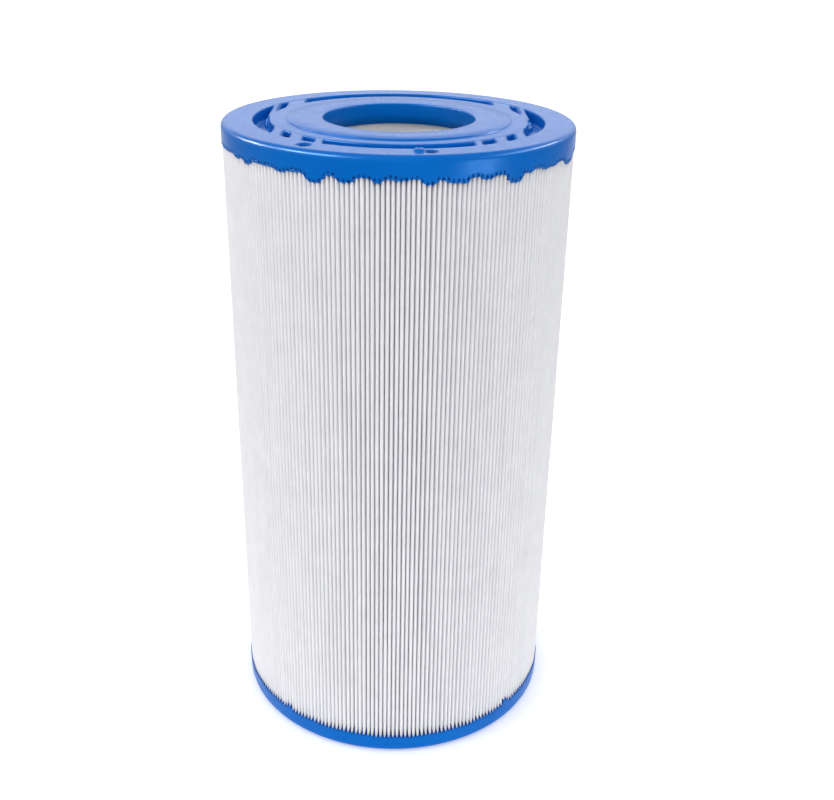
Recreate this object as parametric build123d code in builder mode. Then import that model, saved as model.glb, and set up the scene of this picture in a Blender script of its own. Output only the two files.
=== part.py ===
"""Pleated filter cartridge with two cast end caps, in millimetres.

The cartridge stands on its bottom cap. Its axis is Z, and its origin is the centre of the bottom
face. Both caps are cast round the ends of the core tube, the pleats and the seam, so each cap
takes the shape of what is potted in it.
"""

import os
from math import cos, radians, sin

from build123d import *

os.makedirs("parts", exist_ok=True)

# Overall sizes
overall_length = 235.0
cap_diameter = 125.4

# End caps: the land round the bore is the highest face, and the drops are measured from it
bore_diameter = 54.0
cap_height = 7.4
rim_width = 11.1
rim_drop = 0.4
groove_width = 5.85
groove_depth = 4.5
groove_floor_thickness = 0.6
annulus_width = 5.95
annulus_drop = 0.6
cap_edge_round = 2.0
groove_edge_round = 0.5
bore_edge_round = 0.5

# Ribs across the groove, all milled in the mould along Y: each has its angle, to either side of
# the front or of the back, and its width along X
rib_drop = 0.2
rib_edge_round = 0.8
rib_root = 0.8
rib_reach = 20.0
front_ribs = ((32, 2.4), (43.5, 4.2), (55, 3.6))
back_ribs = ((52, 5.8), (69, 2.0))

# Core tube: its inside stands back from the caps' bore by a small ledge
core_ledge = 2.0
core_wall = 3.5
core_end_band = 16.0
window_columns = 12
window_rows = 14
window_width = 11.0
window_ring_height = 4.0

# Pleated media
pleat_count = 240
media_thickness = 0.38
media_core_clearance = 0.3
media_skin = 0.3
fold_root_fill = 0.9

# Seam where the sheet's two ends meet, at the back
seam_angle = 90.0
seam_thickness = 0.5
seam_depth = 8.0

cap_radius = cap_diameter / 2
bore_radius = bore_diameter / 2
groove_outer_radius = cap_radius - rim_width
groove_inner_radius = groove_outer_radius - groove_width
land_radius = groove_inner_radius - annulus_width
potted_end = groove_depth + groove_floor_thickness
potted_length = overall_length - 2 * potted_end
core_inner_radius = bore_radius + core_ledge
core_outer_radius = core_inner_radius + core_wall
pleat_root_radius = core_outer_radius + media_core_clearance
pleat_tip_radius = cap_radius - media_skin
pleat_angle = 360 / pleat_count


def polar(radius, angle, sideways=0.0):
    """The point at a radius and an angle in degrees, then moved sideways along the tangent."""
    turn = radians(angle)
    across = (radius * cos(turn) - sideways * sin(turn), radius * sin(turn) + sideways * cos(turn))
    return across


# Core tube: a moulded sleeve with rows of windows that let the water through
window_pitch = (potted_length - 2 * core_end_band + window_ring_height) / window_rows
window_height = window_pitch - window_ring_height
first_window = potted_end + core_end_band + window_height / 2
window_middles = [(0, 0, first_window + row * window_pitch) for row in range(window_rows)]

with BuildPart() as core_tube:
    with BuildSketch(Plane.XY.offset(potted_end)):
        Circle(core_outer_radius)
        Circle(core_inner_radius, mode=Mode.SUBTRACT)
    extrude(amount=potted_length)
    with Locations(*window_middles):
        with PolarLocations(core_inner_radius + core_wall / 2, window_columns):
            Box(3 * core_wall, window_width, window_height, mode=Mode.SUBTRACT)
core_tube.part.label = "core_tube"
export_step(core_tube.part, "parts/core_tube.step")


# Media seam: a strip of adhesive between the two end walls of the pleated sheet
seam_inner_radius = pleat_tip_radius - seam_depth

with BuildPart() as media_seam:
    with BuildSketch(Plane.XY.offset(potted_end)):
        with BuildLine():
            Polyline(
                polar(pleat_tip_radius, seam_angle, -seam_thickness / 2),
                polar(pleat_tip_radius, seam_angle, seam_thickness / 2),
                polar(seam_inner_radius, seam_angle, seam_thickness / 2),
                polar(seam_inner_radius, seam_angle, -seam_thickness / 2),
                close=True,
            )
        make_face()
    extrude(amount=potted_length)
media_seam.part.label = "media_seam"
export_step(media_seam.part, "parts/media_seam.step")


# Pleated media: one sheet folded to and fro between the core and the cap's edge. Its section runs
# out round every fold from one side of the seam to the other, then back along the inner face. The
# folds are pressed together at their roots where the core leaves too little room for two layers.
tips = [seam_angle + fold * pleat_angle for fold in range(1, pleat_count)]
half_pleat = pleat_angle / 2
root_pitch = pleat_root_radius * radians(pleat_angle)
root_layer = min(media_thickness, fold_root_fill * root_pitch / 2)
outer_face = [polar(pleat_root_radius + media_thickness, seam_angle + half_pleat)]
inner_face = [
    polar(pleat_root_radius, seam_angle + half_pleat, -root_layer),
    polar(pleat_root_radius, seam_angle + half_pleat, root_layer),
]
for tip in tips:
    outer_face += [
        polar(pleat_tip_radius, tip, -media_thickness),
        polar(pleat_tip_radius, tip, media_thickness),
        polar(pleat_root_radius + media_thickness, tip + half_pleat),
    ]
    inner_face += [
        polar(pleat_tip_radius - media_thickness, tip),
        polar(pleat_root_radius, tip + half_pleat, -root_layer),
        polar(pleat_root_radius, tip + half_pleat, root_layer),
    ]
end_wall = seam_thickness / 2 + media_thickness

with BuildPart() as pleated_media:
    with BuildSketch(Plane.XY.offset(potted_end)):
        with BuildLine():
            Polyline(
                polar(pleat_tip_radius, seam_angle, seam_thickness / 2),
                polar(pleat_tip_radius, seam_angle, end_wall),
                *outer_face,
                polar(pleat_tip_radius, seam_angle, -end_wall),
                polar(pleat_tip_radius, seam_angle, -seam_thickness / 2),
                polar(seam_inner_radius, seam_angle, -seam_thickness / 2),
                *reversed(inner_face),
                polar(seam_inner_radius, seam_angle, seam_thickness / 2),
                close=True,
            )
        make_face()
    extrude(amount=potted_length)
pleated_media.part.label = "pleated_media"
export_step(pleated_media.part, "parts/pleated_media.step")


# End caps: one casting, used at both ends. Its groove is the mark of the ring that holds the
# pleats off the floor of the mould, and the ribs fill the gaps in that ring.
rib_top = -annulus_drop - rib_drop
rib_height = groove_depth + rib_root + rib_top
rib_foot = rib_top - rib_height
groove_middle_radius = groove_inner_radius + groove_width / 2
ribs = [(-90 + side * angle, width) for angle, width in front_ribs for side in (-1, 1)]
ribs += [(90 + side * angle, width) for angle, width in back_ribs for side in (-1, 1)]

with BuildPart() as groove_ribs:
    for rib_angle, rib_width in ribs:
        rib_x = groove_middle_radius * cos(radians(rib_angle))
        rib_y = groove_middle_radius * sin(radians(rib_angle))
        with Locations((rib_x, rib_y, rib_foot + rib_height / 2)):
            Box(rib_width, rib_reach, rib_height)
    fillet(groove_ribs.edges().filter_by(Axis.Y).group_by(Axis.Z)[-1], rib_edge_round)
    with BuildSketch(Plane.XY.offset(rib_foot)):
        Circle(groove_outer_radius + rib_root)
        Circle(groove_inner_radius - rib_root, mode=Mode.SUBTRACT)
    extrude(amount=rib_height, mode=Mode.INTERSECT)

with BuildPart() as cap_casting:
    with BuildSketch(Plane.XZ) as cap_section:
        with BuildLine():
            Polyline(
                (bore_radius, -cap_height),
                (bore_radius, 0),
                (land_radius, 0),
                (land_radius + annulus_drop, -annulus_drop),
                (groove_inner_radius, -annulus_drop),
                (groove_inner_radius, -groove_depth),
                (groove_outer_radius, -groove_depth),
                (groove_outer_radius, -rim_drop),
                (cap_radius, -rim_drop),
                (cap_radius, -cap_height),
                close=True,
            )
        make_face()
        corners = cap_section.vertices()
        fillet(corners.sort_by_distance((cap_radius, -rim_drop))[0], cap_edge_round)
        fillet(corners.sort_by_distance((bore_radius, 0))[0], bore_edge_round)
        groove_corners = (
            corners.sort_by_distance((groove_inner_radius, -annulus_drop))[0],
            corners.sort_by_distance((groove_outer_radius, -rim_drop))[0],
        )
        fillet(groove_corners, groove_edge_round)
    revolve(axis=Axis.Z)
    add(groove_ribs.part)

# Top end cap
with BuildPart() as top_end_cap:
    with Locations((0, 0, overall_length)):
        add(cap_casting.part)
    for potted in (core_tube, pleated_media, media_seam):
        add(potted.part, mode=Mode.SUBTRACT)
top_end_cap.part.label = "top_end_cap"
export_step(top_end_cap.part, "parts/top_end_cap.step")

# Bottom end cap: the same casting, turned over
with BuildPart() as bottom_end_cap:
    add(cap_casting.part, rotation=(0, 180, 0))
    for potted in (core_tube, pleated_media, media_seam):
        add(potted.part, mode=Mode.SUBTRACT)
bottom_end_cap.part.label = "bottom_end_cap"
export_step(bottom_end_cap.part, "parts/bottom_end_cap.step")
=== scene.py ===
from math import cos, pi, radians, sin

import bpy
import numpy as np
from mathutils import Matrix, Vector


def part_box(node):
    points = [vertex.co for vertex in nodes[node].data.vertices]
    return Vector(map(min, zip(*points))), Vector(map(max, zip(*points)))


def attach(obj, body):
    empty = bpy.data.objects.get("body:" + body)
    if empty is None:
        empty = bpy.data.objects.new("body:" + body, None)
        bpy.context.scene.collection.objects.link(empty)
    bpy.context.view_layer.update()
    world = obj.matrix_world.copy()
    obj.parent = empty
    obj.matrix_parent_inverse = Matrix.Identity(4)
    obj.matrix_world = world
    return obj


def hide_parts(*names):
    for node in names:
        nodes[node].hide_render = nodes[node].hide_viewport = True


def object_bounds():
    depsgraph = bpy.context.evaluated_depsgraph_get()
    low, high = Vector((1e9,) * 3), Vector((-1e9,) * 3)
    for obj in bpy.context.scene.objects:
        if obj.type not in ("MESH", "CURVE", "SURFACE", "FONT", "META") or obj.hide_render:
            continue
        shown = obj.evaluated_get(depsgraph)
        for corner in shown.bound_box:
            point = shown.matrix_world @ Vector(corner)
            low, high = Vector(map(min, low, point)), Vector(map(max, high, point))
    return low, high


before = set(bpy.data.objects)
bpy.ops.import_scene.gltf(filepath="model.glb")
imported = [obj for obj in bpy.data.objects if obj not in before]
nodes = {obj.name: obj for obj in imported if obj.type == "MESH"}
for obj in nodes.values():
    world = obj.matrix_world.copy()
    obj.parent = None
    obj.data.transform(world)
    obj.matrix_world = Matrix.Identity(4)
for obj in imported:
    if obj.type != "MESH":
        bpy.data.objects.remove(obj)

cad_low, cad_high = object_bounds()
mm = 0.001


# Camera: it looks down on the cartridge from the front, a little to its right and a little rolled.
camera_data = bpy.data.cameras.new("camera")
camera_data.lens = 46.54
camera_data.sensor_width = 36.0
camera_data.clip_start = 0.01
camera = bpy.data.objects.new("camera", camera_data)
bpy.context.scene.collection.objects.link(camera)
look_down = radians(24.945)
look_right = radians(1.214)
camera_roll = radians(1.092)
camera.matrix_world = (
    Matrix.Translation((0.0, -0.3898, cad_high.z + 0.0704))
    @ Matrix.Rotation(-look_right, 4, "Z")
    @ Matrix.Rotation(pi / 2 - look_down, 4, "X")
    @ Matrix.Rotation(camera_roll, 4, "Z")
)
bpy.context.scene.camera = camera
bpy.context.scene.view_settings.view_transform = "Standard"


# Studio: a white tent all round, with a brighter white panel behind the cartridge that gives the
# caps their pale sheen, weak lights above and in front, and softboxes at the sides, warm on the
# left and cool on the right.
def softbox(name, place, aim, width, height, radiance, colour=(1.0, 1.0, 1.0), glint=False):
    """A rectangular light at a place, aimed at a point. A glint is seen only in reflections."""
    light = bpy.data.lights.new(name, "AREA")
    light.shape = "RECTANGLE"
    light.size = width
    light.size_y = height
    light.energy = radiance * pi * width * height
    light.color = colour
    lamp = bpy.data.objects.new(name, light)
    bpy.context.scene.collection.objects.link(lamp)
    lamp.location = place
    lamp.rotation_euler = (Vector(aim) - Vector(place)).to_track_quat("-Z", "Y").to_euler()
    lamp.visible_diffuse = not glint
    lamp.visible_camera = not glint


cartridge_middle = (0.0, 0.0, (cad_low.z + cad_high.z) / 2)
softbox("back_panel", (0.0, 3.8, 1.9), (0.0, 0.0, 0.3), 5.0, 2.6, 1.1)
softbox("overhead_light", (0.0, -0.2, 1.5), cartridge_middle, 1.2, 1.2, 0.7)
softbox("front_light", (0.0, -2.2, 1.0), cartridge_middle, 1.6, 1.0, 1.3)
softbox("left_light", (-1.0, -0.5, 1.05), cartridge_middle, 0.45, 0.3, 5.0, (1.0, 0.98, 0.95))
softbox("right_light", (1.1, -0.8, 0.8), cartridge_middle, 0.5, 0.7, 1.2, (0.94, 0.97, 1.0))

# Glints on the top cap: three lamps in a row along its left edge, one on its right edge, and a
# white card low down to the right
cap_edge = (0.0, 0.0, cad_high.z)
softbox("left_glint_back", (-1.15, 0.34, 0.73), cap_edge, 0.46, 0.05, 380.0, glint=True)
softbox("left_glint_middle", (-1.04, -0.30, 1.00), cap_edge, 0.42, 0.05, 1000.0, glint=True)
softbox("left_glint_front", (-0.80, -0.62, 1.11), cap_edge, 0.24, 0.05, 1400.0, glint=True)
softbox("right_glint", (1.1, 0.1, 0.85), cap_edge, 1.4, 0.05, 150.0, glint=True)
softbox("card_glint", (0.42, -0.36, 0.13), cap_edge, 0.2, 0.14, 24.0, glint=True)

world = bpy.data.worlds.new("white_tent")
bpy.context.scene.world = world
world.use_nodes = True
world.node_tree.nodes["Background"].inputs["Color"].default_value = (0.99, 0.995, 1.0, 1.0)
world.node_tree.nodes["Background"].inputs["Strength"].default_value = 0.69

bpy.ops.object.select_all(action="DESELECT")
bpy.ops.mesh.primitive_plane_add(size=9.0, location=(0.0, 0.0, cad_low.z))
floor = bpy.context.object
floor.name = "floor"


def new_material(name):
    """A material, its node tree and its Principled shader."""
    material = bpy.data.materials.new(name)
    material.use_nodes = True
    return material, material.node_tree, material.node_tree.nodes["Principled BSDF"]


def node(tree, kind, **settings):
    """A new node, with values for its sockets or its own settings."""
    made = tree.nodes.new(kind)
    for key, value in settings.items():
        if key in made.inputs:
            made.inputs[key].default_value = value
        else:
            setattr(made, key, value)
    return made


def object_noise(tree, scale, detail=3.0, roughness=0.55, stretch=(1.0, 1.0, 1.0)):
    """Noise over the piece's own coordinates, in metres, stretched along an axis if asked."""
    coordinates = node(tree, "ShaderNodeTexCoord")
    mapping = node(tree, "ShaderNodeMapping", Scale=stretch)
    noise = node(tree, "ShaderNodeTexNoise", Scale=scale, Detail=detail, Roughness=roughness)
    tree.links.new(coordinates.outputs["Object"], mapping.inputs["Vector"])
    tree.links.new(mapping.outputs["Vector"], noise.inputs["Vector"])
    return noise


def ramp(tree, source, first, second):
    """A blend between two colours, each given with the value at which it is reached."""
    made = node(tree, "ShaderNodeValToRGB")
    for element, (position, colour) in zip(made.color_ramp.elements, (first, second)):
        element.position = position
        element.color = (*colour, 1.0)
    tree.links.new(source, made.inputs["Fac"])
    return made


def bump(tree, shader, source, strength, distance):
    """Fine relief from a noise."""
    made = node(tree, "ShaderNodeBump", Strength=strength, Distance=distance)
    tree.links.new(source, made.inputs["Height"])
    tree.links.new(made.outputs["Normal"], shader.inputs["Normal"])


# The sweep glows white behind and under the cartridge; its colour and glow fall off into painted shade
# at both sides
floor_with_painted_side_shade, tree, shader = new_material("floor_with_painted_side_shade")
place = node(tree, "ShaderNodeSeparateXYZ")
tree.links.new(node(tree, "ShaderNodeTexCoord").outputs["Object"], place.inputs["Vector"])
aside = node(tree, "ShaderNodeMath", operation="ABSOLUTE")
tree.links.new(place.outputs["X"], aside.inputs[0])
side_shade_reach = node(tree, "ShaderNodeMath", operation="MULTIPLY_ADD")
side_shade_reach.inputs[1].default_value = -0.36
tree.links.new(place.outputs["Y"], side_shade_reach.inputs[0])
tree.links.new(aside.outputs["Value"], side_shade_reach.inputs[2])
# Painted shade: the floor's colour, and so its glow, darken towards both sides
painted_side_shade = ramp(tree, side_shade_reach.outputs["Value"], (0.25, (0.94, 0.94, 0.94)), (0.60, (0.3, 0.3, 0.3)))
tree.links.new(painted_side_shade.outputs["Color"], shader.inputs["Base Color"])
tree.links.new(painted_side_shade.outputs["Color"], shader.inputs["Emission Color"])
shader.inputs["Roughness"].default_value = 0.9
shader.inputs["Specular IOR Level"].default_value = 0.1
shader.inputs["Emission Strength"].default_value = 0.28
floor.data.materials.append(floor_with_painted_side_shade)


# Core tube: the moulded sleeve that carries the pleats, of near-white polypropylene with a
# fine eroded grain. Its ends are potted in the caps, and it shows through the bores.
core_plastic, tree, shader = new_material("core_plastic")
flow = object_noise(tree, 45.0, stretch=(1.0, 1.0, 0.3))
ivory = ramp(tree, flow.outputs["Fac"], (0.3, (0.86, 0.85, 0.82)), (0.7, (0.91, 0.90, 0.87)))
tree.links.new(ivory.outputs["Color"], shader.inputs["Base Color"])
grain = object_noise(tree, 1500.0)
bump(tree, shader, grain.outputs["Fac"], 0.15, 0.1 * mm)
shader.inputs["Roughness"].default_value = 0.5
nodes["core_tube"].data.materials.clear()
nodes["core_tube"].data.materials.append(core_plastic)


# Pleated media: one long sheet of white spunbonded polyester, folded to and fro into deep pleats
# and wrapped round the core. No fold is quite even: each tip wanders a little as it runs up, and
# the pleats swell until they touch their neighbours a few millimetres in.
pleat_count = 240
cloth_thickness = 0.38 * mm
media_low, media_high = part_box("pleated_media")
root_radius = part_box("core_tube")[1].x + 0.3 * mm
tip_radius = media_high.x
pleat_turn = 2 * pi / pleat_count
seam_turn = pi / 2
media_rows = 22
tip_half_width = 0.55 * mm
hip_half_width = 0.76 * mm
hip_depth = 2.0 * mm
seam_half_gap = 0.63 * mm
tip_wander = 0.16 * mm
tip_set_back = 0.18 * mm
wander_knots = 8

# A fold's outline from its crown to its root and on to the next crown. Each point stands beside
# this fold (0) or the next (1), or beside the valley between them (0.5).
# (fold, across in tip half widths, back from the crown in mm, the same in the seam's fold)
fold_outline = [
    (0, 0.0, 0.0, 0.0), (0, 0.72, 0.17, 0.0), (0, 1.0, 0.60, 4.0), (0, "hip", None, 8.0),
    (0.5, "root", -1, None), (0.5, "root", 1, None),
    (1, "hip", None, 8.0), (1, -1.0, 0.60, 4.0), (1, -0.72, 0.17, 0.0),
]
root_half_gap = 0.03 * mm
sheet_columns = pleat_count * len(fold_outline)

bpy.ops.object.select_all(action="DESELECT")
sheet_foot = (0.0, 0.0, media_low.z)
bpy.ops.mesh.primitive_circle_add(vertices=sheet_columns, radius=tip_radius, location=sheet_foot)
pleated_sheet = bpy.context.object
pleated_sheet.name = "pleated_sheet"
bpy.ops.object.transform_apply(location=True, rotation=False, scale=False)
bpy.ops.object.mode_set(mode="EDIT")
bpy.ops.mesh.select_all(action="SELECT")
row_rise = (media_high.z - media_low.z) / (media_rows - 1)
for row in range(media_rows - 1):
    bpy.ops.mesh.extrude_edges_move(TRANSFORM_OT_translate={"value": (0.0, 0.0, row_rise)})
bpy.ops.object.mode_set(mode="OBJECT")

draw = np.random.default_rng(11)


def eased(knots, height):
    """Values at a height from 0 to 1 between evenly spaced knots, eased from one to the next."""
    place = np.clip(height, 0.0, 1.0) * (knots.shape[-1] - 1)
    low = np.minimum(place.astype(int), knots.shape[-1] - 2)
    part = place - low
    part = part * part * (3 - 2 * part)
    return knots[..., low] * (1 - part) + knots[..., low + 1] * part


def with_neighbours(values):
    """Half a fold's own value and half its neighbours', so that folds lean together."""
    return 0.5 * values + 0.25 * np.roll(values, 1, axis=0) + 0.25 * np.roll(values, -1, axis=0)


lean_knots = with_neighbours(draw.uniform(-1.0, 1.0, (pleat_count, wander_knots)))
steady_lean = draw.uniform(-1.0, 1.0, (pleat_count, 1))
back_knots = draw.uniform(0.0, 1.0, (pleat_count, wander_knots)) ** 2
full_knots = draw.uniform(0.85, 1.08, (pleat_count, wander_knots))


def tip_lean(height):
    """How far each fold's tip stands to the side at some heights from 0 to 1, in metres."""
    held = 0.35 + 0.65 * np.minimum(1.0, np.minimum(height, 1.0 - height) / 0.12)
    return tip_wander * (0.55 * eased(lean_knots, height) * held + 0.45 * steady_lean)


heights = np.linspace(0.0, 1.0, media_rows)
free = np.minimum(1.0, np.minimum(heights, 1.0 - heights) / 0.08)
lean = tip_lean(heights)
back = tip_set_back * eased(back_knots, heights) * free
full = tip_half_width * eased(full_knots, heights)
hip_lean = 0.15 * lean

rings = np.empty((media_rows, sheet_columns, 3))
pleated_sheet.data.vertices.foreach_get("co", rings.ravel())
for place, (fold, across, depth, seam_depth) in enumerate(fold_outline):
    turns = seam_turn + (np.arange(pleat_count) + fold) * pleat_turn
    step = -1 if fold == 1 else 0
    if across == "root":
        side = np.full((pleat_count, media_rows), depth * root_half_gap)
        out = np.full((pleat_count, media_rows), root_radius + cloth_thickness)
    elif across == "hip":
        side = hip_half_width * (1 if fold == 0 else -1) + np.roll(hip_lean, step, axis=0)
        out = np.full((pleat_count, media_rows), tip_radius - hip_depth)
    else:
        side = np.roll(lean, step, axis=0) + across * np.roll(full, step, axis=0)
        out = tip_radius - np.roll(back, step, axis=0) - depth * mm
    if fold != 0.5:
        # The seam's fold stays open for the glue, with a straight flank either side of it
        seam_fold = 0 if fold == 0 else pleat_count - 1
        side[seam_fold] = seam_half_gap * (1 if fold == 0 else -1)
        out[seam_fold] = tip_radius - seam_depth * mm
    columns = np.arange(pleat_count) * len(fold_outline) + place
    rings[:, columns, 0] = (out * np.cos(turns)[:, None] - side * np.sin(turns)[:, None]).T
    rings[:, columns, 1] = (out * np.sin(turns)[:, None] + side * np.cos(turns)[:, None]).T
pleated_sheet.data.vertices.foreach_set("co", rings.ravel())
pleated_sheet.data.update()

# The sheet's two ends: the crown of the seam's fold is cut away
seam_crown = np.zeros(media_rows * sheet_columns, dtype=bool)
seam_crown[::sheet_columns] = True
pleated_sheet.data.vertices.foreach_set("select", seam_crown)
pleated_sheet.data.edges.foreach_set("select", [False] * len(pleated_sheet.data.edges))
pleated_sheet.data.polygons.foreach_set("select", [False] * len(pleated_sheet.data.polygons))
bpy.ops.object.mode_set(mode="EDIT")
bpy.ops.mesh.select_mode(type="VERT")
bpy.ops.mesh.delete(type="VERT")
bpy.ops.object.mode_set(mode="OBJECT")
crown_face = max(pleated_sheet.data.polygons, key=lambda face: face.center.xy.length)
if crown_face.normal.xy.dot(crown_face.center.xy) < 0:
    pleated_sheet.data.flip_normals()
weight = pleated_sheet.modifiers.new("cloth_thickness", "SOLIDIFY")
weight.thickness = cloth_thickness
weight.offset = -1.0
bpy.ops.object.modifier_apply(modifier=weight.name)
bpy.ops.object.shade_smooth()

polyester, tree, shader = new_material("spunbonded_polyester")
clouds = object_noise(tree, 130.0, detail=2.0)
cloth_white = ramp(tree, clouds.outputs["Fac"], (0.3, (0.80, 0.80, 0.83)), (0.7, (0.84, 0.84, 0.87)))
tree.links.new(cloth_white.outputs["Color"], shader.inputs["Base Color"])
fibres = object_noise(tree, 700.0, detail=4.0, roughness=0.7, stretch=(1.0, 1.0, 0.45))
bump(tree, shader, fibres.outputs["Fac"], 0.35, 0.2 * mm)
shader.inputs["Roughness"].default_value = 0.85
shader.inputs["Specular IOR Level"].default_value = 0.25
pleated_sheet.data.materials.append(polyester)

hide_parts("pleated_media")
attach(pleated_sheet, "root")


# Media seam: the strip of hot-melt glue that joins the sheet's two ends, in the open fold at the
# back. It is a translucent cream colour and runs from cap to cap.
seam_glue, tree, shader = new_material("seam_glue")
glue_noise = object_noise(tree, 300.0)
cream = ramp(tree, glue_noise.outputs["Fac"], (0.3, (0.76, 0.71, 0.58)), (0.7, (0.86, 0.83, 0.72)))
tree.links.new(cream.outputs["Color"], shader.inputs["Base Color"])
bump(tree, shader, glue_noise.outputs["Fac"], 0.4, 0.3 * mm)
shader.inputs["Roughness"].default_value = 0.4
nodes["media_seam"].data.materials.clear()
nodes["media_seam"].data.materials.append(seam_glue)


# End caps: rings of blue polyurethane, cast in an open mould round the ends of the pleats and the
# core. The ring groove is the mould's own shape, the short ribs cross it where the mould is
# notched, and the skirt ends raggedly where the resin stopped rising between the pleats.
cap_radius = cad_high.x
bore_radius = 27.0 * mm
cap_height = 7.4 * mm
rim_width = 11.1 * mm
rim_drop = 0.4 * mm
groove_width = 5.85 * mm
groove_depth = 4.5 * mm
land_drop = 0.45 * mm
land_width = 5.95 * mm
edge_round = 2.0 * mm
lip_round = 0.5 * mm
groove_outer = cap_radius - rim_width
groove_inner = groove_outer - groove_width
face_radius = groove_inner - land_width
side_top = -rim_drop - edge_round
potting_radius = cap_radius - 6.0 * mm
cap_columns = 6 * pleat_count


def straight(first, last, steps):
    """Evenly spaced points from one point to another, without the first."""
    return [tuple(np.array(first) + (np.array(last) - first) * k / steps) for k in range(1, steps + 1)]


def rounded(centre, radius, first, last, steps):
    """Points of an arc, by its first and last angles in degrees."""
    turns = np.radians(np.linspace(first, last, steps))
    return [(centre[0] + radius * cos(t), centre[1] + radius * sin(t)) for t in turns]


# The cap's section as radius and height from its face: from the foot of the bore, over the face
# and through the groove, and down the side. The skirt and its fringe follow as straight rows.
section = [(bore_radius, -cap_height)]
section += straight(section[-1], (bore_radius, -lip_round), 2)
section += rounded((bore_radius + lip_round, -lip_round), lip_round, 150, 90, 3)
section += straight(section[-1], (face_radius - 0.2 * mm, 0.0), 2)
section += straight(section[-1], (face_radius, -0.12 * mm), 1)
section += straight(section[-1], (face_radius + 0.05 * mm, -land_drop + 0.1 * mm), 1)
section += straight(section[-1], (face_radius + 0.25 * mm, -land_drop), 1)
section += straight(section[-1], (groove_inner - lip_round, -land_drop), 2)
section += rounded((groove_inner - lip_round, -land_drop - lip_round), lip_round, 60, 0, 3)
groove_start = len(section) - 3
section += straight(section[-1], (groove_inner + 0.1 * mm, -groove_depth + 0.5 * mm), 3)
section += straight(section[-1], (groove_inner + 0.6 * mm, -groove_depth), 1)
section += straight(section[-1], (groove_outer - 0.6 * mm, -groove_depth), 6)
section += straight(section[-1], (groove_outer - 0.1 * mm, -groove_depth + 0.5 * mm), 1)
section += straight(section[-1], (groove_outer, -rim_drop - lip_round), 3)
section += rounded((groove_outer + lip_round, -rim_drop - lip_round), lip_round, 150, 90, 3)
groove_end = len(section)
section += straight(section[-1], (cap_radius - edge_round, -rim_drop), 14)
rim_end = len(section)
section += rounded((cap_radius - edge_round, side_top), edge_round, 72, 0, 5)
skirt_start = len(section)

skirt_shares = [0.3, 0.65]
pit_rows = [2.0, 1.6, 1.25, 0.95, 0.65, 0.35, 0.0]
# The fringe below the skirt: inwards and down in mm, on a fold's tip and in a valley
fringe_on_tip = [(0.22, 0.08), (0.7, 0.12), (1.6, 0.12)]
fringe_in_valley = [(0.45, 0.40), (1.2, 1.1), (2.2, 2.0)]

# The ribs all run along Y. Each has its angle to either side of the front or of the back, and its
# width along X in mm. They spread at both ends into the groove's walls.
rib_shoulder = 0.7 * mm
rib_spread = 0.3 * mm
rib_drop = 0.1 * mm
groove_middle = (groove_inner + groove_outer) / 2
front_ribs = ((32, 3.5), (43.5, 5.2), (56.2, 4.7))
back_ribs = ((53, 7.2), (70, 2.9))
ribs = [(radians(-90 + side * angle), width * mm) for angle, width in front_ribs for side in (-1, 1)]
ribs += [(radians(90 + side * angle), width * mm) for angle, width in back_ribs for side in (-1, 1)]


def turned(angle):
    """An angle brought between half a turn either way."""
    return (angle + pi) % (2 * pi) - pi


def smooth(value):
    """An eased step as a value goes from 0 to 1."""
    value = np.clip(value, 0.0, 1.0)
    return value * value * (3 - 2 * value)


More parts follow.
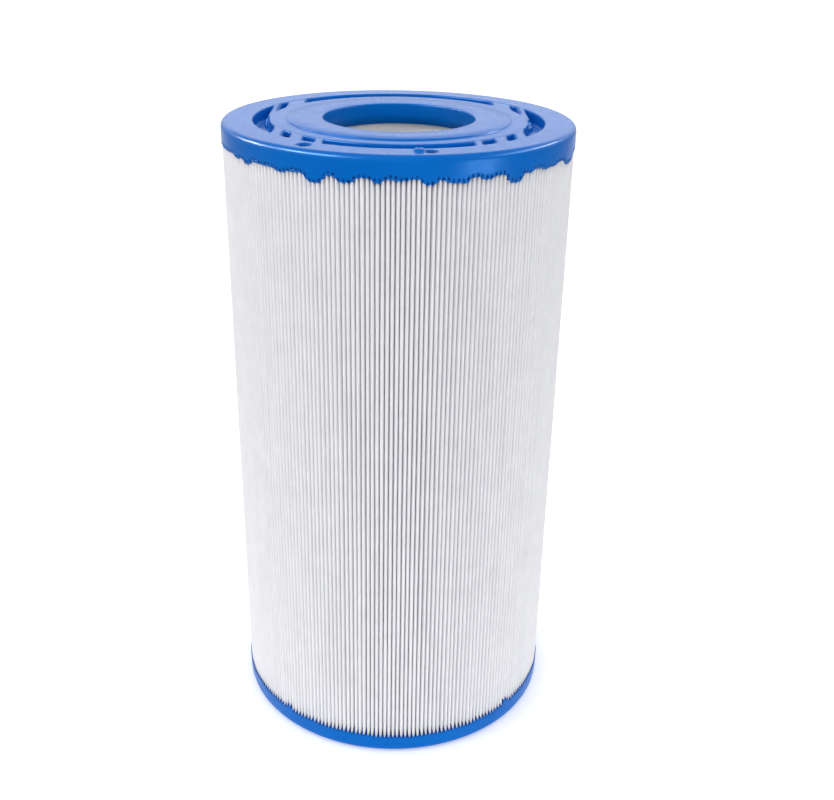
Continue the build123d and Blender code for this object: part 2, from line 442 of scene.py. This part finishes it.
def cast_cap(name, seed, face_height, up, skirt_foot, tooth, drips, dimples, pit_size, media_end):
    """One cap, with its ragged skirt standing on the media's end at media_end."""
    nominal = section + [(cap_radius, side_top - 0.1 * mm * k) for k in range(1, 1 + len(skirt_shares))]
    nominal += [(cap_radius, -skirt_foot + above * mm) for above in pit_rows]
    nominal += [(cap_radius - inward * mm, -skirt_foot - down * mm) for inward, down in fringe_on_tip]
    nominal += [(potting_radius, -cap_height)]
    bpy.ops.object.select_all(action="DESELECT")
    start = (0.0, 0.0, face_height + up * nominal[0][1])
    bpy.ops.mesh.primitive_circle_add(vertices=cap_columns, radius=nominal[0][0], location=start)
    cap = bpy.context.object
    cap.name = name
    bpy.ops.object.transform_apply(location=True, rotation=False, scale=False)
    bpy.ops.object.mode_set(mode="EDIT")
    bpy.ops.mesh.select_all(action="SELECT")
    for (radius, height), (next_radius, next_height) in zip(nominal, nominal[1:]):
        rise = up * (next_height - height)
        bpy.ops.mesh.extrude_edges_move(TRANSFORM_OT_translate={"value": (0.0, 0.0, rise)})
        wider = next_radius / radius
        bpy.ops.transform.resize(value=(wider, wider, 1.0), center_override=(0.0, 0.0, 0.0))
    bpy.ops.mesh.select_mode(type="EDGE")
    bpy.ops.mesh.select_all(action="DESELECT")
    bpy.ops.mesh.select_non_manifold()
    bpy.ops.mesh.bridge_edge_loops()
    bpy.ops.mesh.select_all(action="SELECT")
    bpy.ops.mesh.normals_make_consistent(inside=False)
    bpy.ops.object.mode_set(mode="OBJECT")

    row_count = len(nominal)
    angles = seam_turn + np.arange(cap_columns) * 2 * pi / cap_columns
    out = np.repeat([[radius] for radius, height in nominal], cap_columns, axis=1)
    level = np.repeat([[height] for radius, height in nominal], cap_columns, axis=1)
    shift = np.zeros((row_count, cap_columns))
    # Painted shade: how far each point is darkened to dark navy, in the pits, the dimples and the
    # valleys at the skirt's foot
    pit_shade = np.zeros((row_count, cap_columns))

    # Ribs: soft saddles across the groove, a little under its lips
    rib_top = -land_drop - rib_drop
    for row in range(groove_start, groove_end):
        wall = np.minimum(out[row] - groove_inner, groove_outer - out[row])
        spread = rib_spread * (1.0 - smooth(wall / (1.6 * mm)))
        for rib_turn, rib_width in ribs:
            off = np.abs(out[row] * np.cos(angles) - groove_middle * cos(rib_turn)) - spread
            off[np.sin(angles) * sin(rib_turn) < 0.0] = groove_outer
            rise = smooth((rib_width / 2 + rib_shoulder - off) / (2 * rib_shoulder))
            level[row] = np.maximum(level[row], -groove_depth + rise * (rib_top + groove_depth))

    # Dimples in the rim where pins held the core in the mould, and a nib where a vent filled; the
    # dimples are darkened with painted shade
    for angle, radius, size, depth in dimples:
        for row in range(groove_end, rim_end - 1):
            along = turned(angles - radians(angle)) * out[row]
            reach = np.hypot(along, out[row] - radius * mm) / (size * mm)
            dip = smooth((1.0 - reach) / 0.4) * (1.0 - 0.45 * smooth((0.45 - reach) / 0.45))
            level[row] -= depth * mm * dip
            pit_shade[row] = np.maximum(pit_shade[row], dip * (depth > 0))

    # The skirt's foot: a slow swell, a little unevenness from fold to fold, teeth and drips
    chance = np.random.default_rng(seed)
    knots = chance.uniform(-1.0, 1.0, 60)
    around = np.arange(cap_columns) / cap_columns
    swell = np.interp(around * 60, np.arange(61), np.append(knots, knots[0]))
    uneven = with_neighbours(chance.uniform(-0.5, 0.5, (pleat_count, 1)))[:, 0]
    valley = np.tile([0.0, 0.22, 0.75, 1.0, 0.75, 0.22], pleat_count)
    foot = skirt_foot + 0.30 * mm * swell + 0.45 * mm * np.repeat(uneven, 6) + tooth * mm * valley
    for drip_angle, drip_length, drip_width in drips:
        off = np.abs(turned(angles - radians(drip_angle))) * cap_radius / (drip_width * mm)
        foot += drip_length * mm * np.exp(-off ** 4)
    lean_here = tip_lean(np.array([media_end]))[:, 0]
    lean_next = np.roll(lean_here, -1)
    follow = np.stack([lean_here * (1 - k / 6) + lean_next * k / 6 for k in range(6)], axis=1).ravel()

    # Pits over the valleys, where air stayed in the resin just above the skirt's foot, darkened with
    # painted shade, as are the teeth in the valleys below them
    row = skirt_start
    pit_top = foot - pit_rows[0] * mm
    for share in skirt_shares:
        level[row] = side_top - (pit_top + side_top) * share
        shift[row] = follow * share
        row += 1
    pit_depth = np.repeat(chance.uniform(0.45, 1.0, pleat_count), 6)
    pit_place = np.repeat(chance.uniform(0.5, 1.1, pleat_count), 6)
    pit_width = np.tile([0.0, 0.0, 0.6, 1.0, 0.6, 0.0], pleat_count)
    for above in pit_rows:
        near = np.exp(-((above - pit_place) / 0.40) ** 2) * pit_depth * pit_width * pit_size
        level[row] = -(foot - above * mm)
        out[row] = cap_radius - 0.8 * mm * near
        shift[row] = follow
        pit_shade[row] = np.clip(1.8 * near, 0.0, 1.0)
        if above < 0.5:
            pit_shade[row] = np.maximum(pit_shade[row], tooth * smooth(valley - 0.2))
        row += 1
    # The fringe under the skirt, with painted shade in the valleys between the folds
    for (tip_in, tip_down), (valley_in, valley_down) in zip(fringe_on_tip, fringe_in_valley):
        out[row] = cap_radius - mm * (tip_in * (1 - valley) + valley_in * valley)
        level[row] = -foot - mm * (tip_down * (1 - valley) + valley_down * valley * tooth)
        shift[row] = follow
        pit_shade[row] = smooth(1.2 * valley)
        row += 1

    turn = angles + shift / cap_radius
    points = np.stack([out * np.cos(turn), out * np.sin(turn), face_height + up * level], axis=2)
    cap.data.vertices.foreach_set("co", points.ravel())
    # The painted shade goes to the material as a point attribute
    mark = cap.data.attributes.new("pit_shade", "FLOAT", "POINT")
    mark.data.foreach_set("value", pit_shade.ravel().astype(np.float32))
    cap.data.update()
    bpy.ops.object.shade_smooth()
    return cap


urethane, tree, shader = new_material("blue_urethane")
cloud = object_noise(tree, 45.0)
blue = ramp(tree, cloud.outputs["Fac"], (0.25, (0.0, 0.128, 0.52)), (0.75, (0.001, 0.148, 0.57)))
# Painted shade: an attribute from the casting blends the blue to dark navy in the pits, the dimples and
# the valleys
pit_shade_mark = node(tree, "ShaderNodeAttribute", attribute_name="pit_shade")
painted_pit_shade = node(tree, "ShaderNodeMix", data_type="RGBA")
painted_pit_shade.inputs["B"].default_value = (0.0, 0.010, 0.13, 1.0)
tree.links.new(pit_shade_mark.outputs["Fac"], painted_pit_shade.inputs["Factor"])
tree.links.new(blue.outputs["Color"], painted_pit_shade.inputs["A"])
tree.links.new(painted_pit_shade.outputs["Result"], shader.inputs["Base Color"])
cast_skin = object_noise(tree, 260.0, detail=2.0)
gloss = ramp(tree, cast_skin.outputs["Fac"], (0.3, (0.27, 0.27, 0.27)), (0.75, (0.34, 0.34, 0.34)))
tree.links.new(gloss.outputs["Color"], shader.inputs["Roughness"])
bump(tree, shader, cast_skin.outputs["Fac"], 0.08, 0.3 * mm)
shader.inputs["IOR"].default_value = 1.24
shader.inputs["Specular Tint"].default_value = (0.2, 0.5, 1.0, 1.0)

# Drips down the skirt: angle in degrees, length and half width in mm
top_drips = [
    (211, 0.7, 2.0), (218, 1.1, 2.0), (233, 0.5, 2.4), (245, 2.5, 3.3), (255, 1.7, 3.2),
    (264, 1.3, 1.7), (271, 0.5, 2.6), (279, 1.8, 2.5), (287, 1.1, 3.8), (290, 0.6, 1.2),
    (296.5, 1.0, 2.4), (306.5, 3.2, 3.5), (312.5, 0.8, 1.6), (323, 1.0, 5.0), (337.5, 2.4, 5.2),
    (358, 1.2, 2.8), (14, 2.2, 3.0), (29, 0.8, 2.2), (41, 1.6, 3.6), (66, 2.6, 3.0), (78, 0.9, 2.0),
    (97, 1.5, 3.4), (111, 2.1, 2.6), (121, 0.8, 2.0), (139, 1.2, 4.4), (152, 2.5, 3.0), (175, 1.4, 3.2),
    (188, 0.9, 2.2),
]
bottom_drips = [(228, 1.4, 1.6), (317, 2.0, 1.8), (20, 1.2, 2.0), (80, 1.5, 2.0), (140, 1.0, 2.4)]
# Dimples: angle in degrees, radius, size and depth in mm
top_dimples = [(238, 56.6, 2.8, 1.3), (280.3, 56.4, 2.5, 1.3), (276.6, 55.6, 2.3, -0.9)]
top_cap = cast_cap(
    "top_cap_casting", 3, cad_high.z, 1, 7.55 * mm, 0.3, top_drips, top_dimples, 1.0, 0.985)
bottom_cap = cast_cap(
    "bottom_cap_casting", 5, cad_low.z, -1, 7.1 * mm, 1.0, bottom_drips, [], 0.2, 0.015)
for cap, cad_name in ((top_cap, "top_end_cap"), (bottom_cap, "bottom_end_cap")):
    cap.data.materials.append(urethane)
    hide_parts(cad_name)
    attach(cap, "root")
